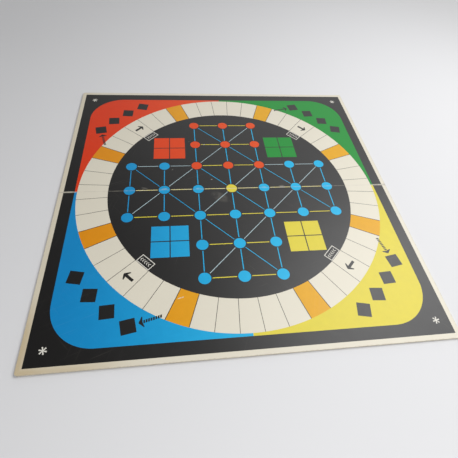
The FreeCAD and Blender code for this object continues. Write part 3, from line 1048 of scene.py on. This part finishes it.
def print_crease():
    """The printed sheet's crease, with the print that runs across it. No face is under two inks."""
    stops = {-BOARD_HALF, BOARD_HALF}
    for reach in (BORDER_HALF, PANEL_HALF, TRACK_OUTER, TRACK_INNER):
        stops |= {-reach, reach}
    for column in range(-CROSS_REACH, CROSS_REACH + 1):
        for clear in (POINT_RADIUS, LINE_TRIM):
            stops |= {column * POINT_PITCH - clear, column * POINT_PITCH + clear}
    stops = sorted(stops)
    columns = [stops[0]]
    for start, end in zip(stops, stops[1:]):
        count = max(1, round(end - start))
        columns += [start + (end - start) * k / count for k in range(1, count + 1)]
    upper = crease_section(FACE_TOP)
    lower = crease_section(FACE_TOP - SHEET_THICKNESS)
    mesh = strip_mesh("crease_print", upper, lower, columns, CREASE_CRINKLE)
    names = ["paper", "black", "red", "green", "blue", "yellow"]
    for name in names:
        mesh.materials.append(FINISHES[name])
    for face in mesh.polygons:
        if face.normal.z > FACING_UP:
            ink = crease_ink(face.center.x / MM, face.center.y / MM)
            face.material_index = names.index(ink)
    piece = shown("crease_print", mesh)
    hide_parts("face_crease")
    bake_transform(piece)


def hinge_strip():
    """The linen strip under the crease."""
    columns = [BOARD_HALF * (2 * k / CLOTH_COLUMNS - 1) for k in range(CLOTH_COLUMNS + 1)]
    upper = cloth_section(CLOTH_RADIUS, CLOTH_TOP)
    lower = cloth_section(CLOTH_RADIUS + CLOTH_THICKNESS, CLOTH_TOP - CLOTH_THICKNESS)
    mesh = strip_mesh("hinge_strip", upper, lower, columns)
    mesh.materials.append(FINISHES["linen"])
    piece = shown("hinge_strip", mesh)
    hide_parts("hinge_cloth")
    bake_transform(piece)


print_crease()
hinge_strip()

BOARD_FINISHES = (("core_board", "core"), ("back_liner", "back"), ("face_sheet", "paper"))
for half_name in ("near", "far"):
    for node, finish_name in BOARD_FINISHES:
        board_piece = frame["nodes"][f"{half_name}_{node}"]
        board_piece.data.materials.clear()
        board_piece.data.materials.append(FINISHES[finish_name])


# Stage, in metres: a pale floor that fades into the surround, a large soft light from the right and
# a weaker one from the near side, and a surround of lit walls with a soft glow beyond the far right.
FLOOR_REACH = 1.4
FLOOR_CLEAR = 0.5
FLOOR_DROP = 0.0001
FLOOR_COLOUR = (0.66, 0.66, 0.672)
# The surround's levels, and the height of the view at which the walls end and the ceiling begins.
WALL_LEVEL = 0.70
WALL_TOP = 0.30
CEILING_LEVEL = 0.0
CEILING_EDGE = 0.50
GLOW_AZIMUTH = 60.0
GLOW_ELEVATION = 28.0
GLOW_REACH = 50.0
GLOW_LEVEL = 1.25
GLOW_BLUR = 0.4


def pale_floor():
    """A plain cloth floor that fades into the surround."""
    finish = Finish("pale_floor")
    colour = finish.mix(finish.cloud(6, 2), shaded(FLOOR_COLOUR, 0.985), FLOOR_COLOUR)
    weave = finish.relief(finish.cloud(900, 2), 0.0001, 0.2)
    solid = finish.surface(colour, 0.9, weave)
    clear = finish.node("ShaderNodeBsdfTransparent")
    away = finish.band(finish.length(finish.place), FLOOR_CLEAR, FLOOR_REACH)
    return finish.close(finish.node("ShaderNodeMixShader", {}, {0: away, 1: solid, 2: clear}))


floor_mesh = bpy.data.meshes.new("floor")
floor_corners = rectangle(2 * FLOOR_REACH, 2 * FLOOR_REACH)
floor_mesh.from_pydata([(x, y, -FLOOR_DROP) for x, y in floor_corners], [], [(0, 1, 2, 3)])
floor_mesh.materials.append(pale_floor())
floor = shown("floor", floor_mesh)


def place_toward(azimuth, elevation, distance=1.0):
    """A place so far from the middle of the board, in that direction."""
    lift = math.radians(elevation)
    return Vector((*polar(distance * math.cos(lift), azimuth), distance * math.sin(lift)))


def soft_light(name, azimuth, elevation, distance, width, depth, radiance):
    """A rectangular light that faces the middle of the board."""
    lamp = bpy.data.lights.new(name, "AREA")
    lamp.shape = "RECTANGLE"
    lamp.size = width
    lamp.size_y = depth
    lamp.energy = radiance * math.pi * width * depth
    light = shown(name, lamp)
    light.location = place_toward(azimuth, elevation, distance)
    light.rotation_mode = "QUATERNION"
    light.rotation_quaternion = light.location.to_track_quat("Z", "Y")


soft_light(
    "window", azimuth=14.0, elevation=53.0, distance=1.0, width=0.55, depth=0.72, radiance=6.3)
soft_light("room", azimuth=-80.0, elevation=42.0, distance=0.8, width=0.6, depth=0.5, radiance=2.6)

world = bpy.data.worlds.new("studio")
bpy.context.scene.world = world
world.use_nodes = True
world.node_tree.nodes.clear()
studio = Draft(world.node_tree)
direction = studio.node("ShaderNodeTexCoord", out="Generated")
height = studio.node("ShaderNodeSeparateXYZ", {}, {0: direction}, out="Z")
wall = studio.band(height, WALL_TOP, CEILING_EDGE, WALL_LEVEL, CEILING_LEVEL)
toward = studio.node(
    "ShaderNodeVectorMath", {"operation": "DOT_PRODUCT"},
    {0: direction, 1: place_toward(GLOW_AZIMUTH, GLOW_ELEVATION)}, out="Value")
glow = studio.band(toward, math.cos(math.radians(GLOW_REACH)), 1.0, 0.0, GLOW_LEVEL)
background = studio.node(
    "ShaderNodeBackground", {},
    {"Color": (1, 1, 1, 1), "Strength": wall.softly_at_least(glow, GLOW_BLUR)})
studio.node("ShaderNodeOutputWorld", {}, {"Surface": background})

# Camera: where the photograph was taken from, in millimetres over the printed face.
CAMERA_PLACE = Vector((-57.27, -285.67, 306.63))
CAMERA_TARGET = Vector((-9.74, -61.36, 0.0))
CAMERA_ROLL = 7.381
CAMERA_LENS = 27.09
CAMERA_SENSOR = 36.0
CAMERA_NEAREST = 0.01

camera = shown("camera", bpy.data.cameras.new("camera"))
camera.data.lens = CAMERA_LENS
camera.data.sensor_width = CAMERA_SENSOR
camera.data.clip_start = CAMERA_NEAREST
forward = (CAMERA_TARGET - CAMERA_PLACE).normalized()
flat_right = forward.cross(Vector((0, 0, 1))).normalized()
flat_up = flat_right.cross(forward)
roll = math.radians(CAMERA_ROLL)
right = flat_right * math.cos(roll) + flat_up * math.sin(roll)
up = right.cross(forward)
pose = Matrix((right, up, -forward)).transposed().to_4x4()
pose.translation = (CAMERA_PLACE + Vector((0, 0, FACE_TOP))) * MM
camera.matrix_world = pose
bpy.context.scene.camera = camera
bpy.context.scene.view_settings.view_transform = "Standard"
